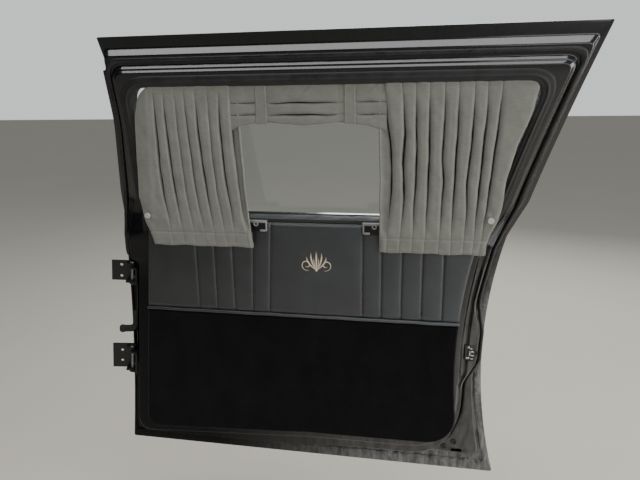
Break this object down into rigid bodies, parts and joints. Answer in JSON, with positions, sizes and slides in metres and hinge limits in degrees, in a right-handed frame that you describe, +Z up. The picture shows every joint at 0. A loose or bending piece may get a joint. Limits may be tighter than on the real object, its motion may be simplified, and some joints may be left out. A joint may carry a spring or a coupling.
{
  "type": "rear side door of a hearse",
  "caption": "Framed car door with pleated curtains, padded trim and glass, hung on leaf hinges with a leaning pin axis, shown open.",
  "frame": {"origin": "centre of the lower hinge's two bolt holes, on the face that meets the pillar", "axes": "+X along the open door from hinge edge to latch edge, +Y outboard through the door, +Z up"},
  "size_m": [1.292, 0.1572, 1.195],
  "materials": {
    "black_paint": "gloss black enamel on pressed steel",
    "black_trim_paint": "satin black on the window frame",
    "black_rubber": "matt moulded rubber",
    "window_glass": "clear tempered glass",
    "black_vinyl": "soft grained vinyl with sewn pleats",
    "black_carpet": "short cut-pile carpet",
    "piping_vinyl": "smooth vinyl piping",
    "grey_curtain": "brushed grey curtain cloth",
    "curtain_board": "stiff backing board",
    "snap_cap": "pale press-stud cap",
    "black_plastic": "moulded plastic",
    "latch_steel": "zinc-plated steel, greased",
    "claw_chrome": "bright worn steel",
    "bright_trim": "bright plated handle",
    "hinge_steel": "painted forged steel",
    "pin_steel": "bare steel pin"
  },
  "bodies": {
    "pillar_side": {"lower_hinge_pillar_leaf": "hinge_steel", "upper_hinge_pillar_leaf": "hinge_steel", "lower_hinge_pin": "pin_steel", "upper_hinge_pin": "pin_steel"},
    "door": {"outer_skin": "black_paint", "inner_panel": "black_paint", "window_frame": "black_paint", "window_seal": "black_rubber", "window_glass": "window_glass", "door_weatherstrip": "black_rubber", "belt_rail": "black_trim_paint", "inner_belt_seal": "black_rubber", "outer_belt_moulding": "bright_trim", "upper_trim": "black_vinyl", "lower_trim": "black_carpet", "piping": "piping_vinyl", "front_curtain": "grey_curtain", "rear_curtain": "grey_curtain", "valance": "grey_curtain", "curtain_rail": "curtain_board", "front_snap": "snap_cap", "rear_snap": "snap_cap", "front_belt_clip": "black_plastic", "rear_belt_clip": "black_plastic", "latch_housing": "latch_steel", "latch_claw": "claw_chrome", "outer_handle": "bright_trim", "handle_bezel": "black_plastic", "wiring_boot": "black_rubber", "harness_strip": "black_plastic", "upper_hinge_door_leaf": "hinge_steel", "lower_hinge_door_leaf": "hinge_steel"}
  },
  "joints": [
    {"name": "door_swing", "type": "hinge", "parent": "pillar_side", "child": "door", "pos_m": [0.0414, -0.01486, -0.00435], "axis": [0.1045, 0, 0.9945], "range_deg": [-72, 0]}
  ]
}
